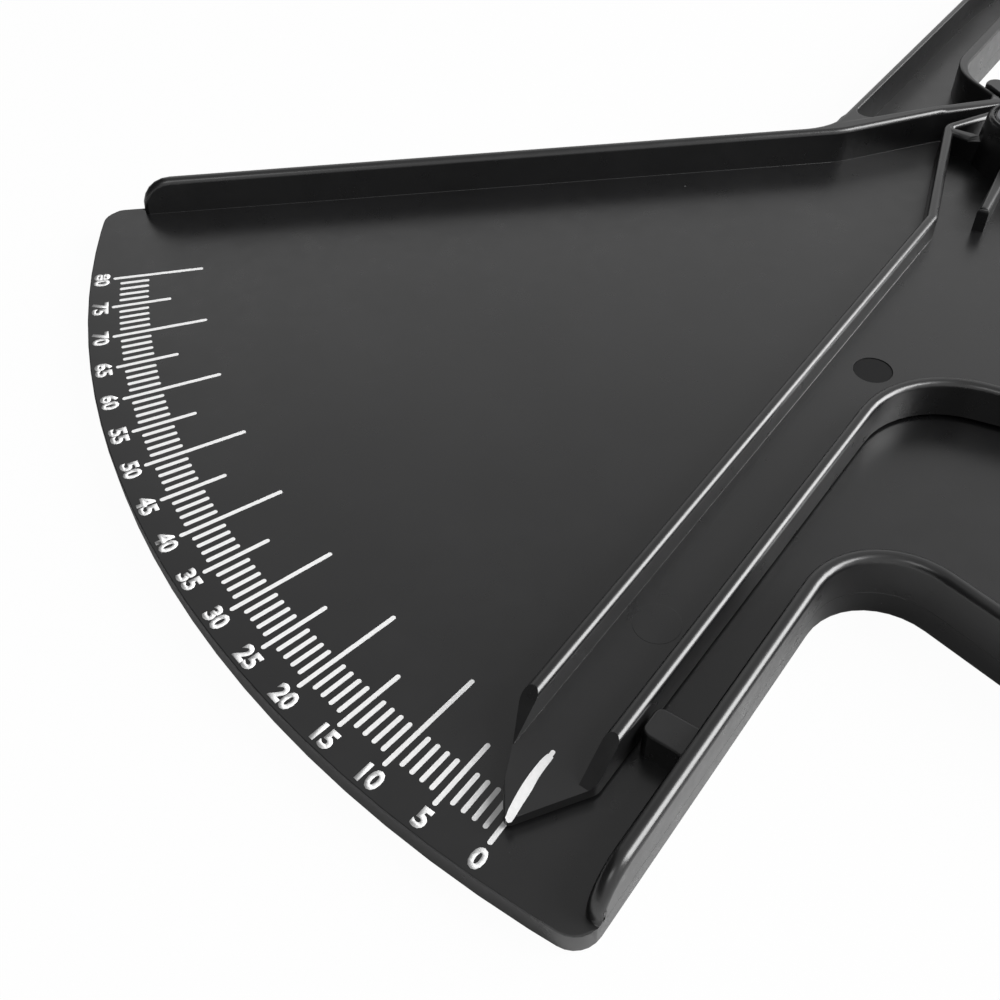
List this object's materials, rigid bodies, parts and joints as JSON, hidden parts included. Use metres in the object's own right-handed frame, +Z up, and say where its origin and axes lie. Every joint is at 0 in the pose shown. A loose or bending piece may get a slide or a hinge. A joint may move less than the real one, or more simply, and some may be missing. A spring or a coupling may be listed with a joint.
{
  "type": "skinfold caliper",
  "caption": "Pistol-grip skinfold caliper: a printed fan with a grip and one jaw, and a sprung lever with the pointer, the trigger and the other jaw.",
  "frame": {"origin": "on the pivot's axis, in the flat underside that the caliper lies on", "axes": "+Z up out of the printed face, along the pivot; +Y towards the jaws' side and +X towards the trigger, with the closed jaws along 54 degrees from +X"},
  "size_m": [0.1941, 0.2337, 0.0114],
  "materials": {
    "black_abs": "satin black moulded ABS with a very fine grain",
    "spring_wire": "drawn spring wire",
    "screw_steel": "blackened steel, satin",
    "washer_steel": "plain zinc-plated steel",
    "washer_nylon": "natural white nylon"
  },
  "bodies": {
    "frame": {"frame": "black_abs", "pivot_screw": "screw_steel", "pivot_washer": "washer_steel", "thrust_washer": "washer_nylon"},
    "lever": {"lever": "black_abs", "torsion_spring": "spring_wire"}
  },
  "joints": [
    {"name": "lever_pivot", "type": "hinge", "parent": "frame", "child": "lever", "pos_m": [0, 0, 0], "axis": [0, 0, -1], "range_deg": [0, 44.5], "stiffness_Nm_per_rad": 0.25, "springref_deg": -143.24, "deforming": ["torsion_spring"]}
  ]
}
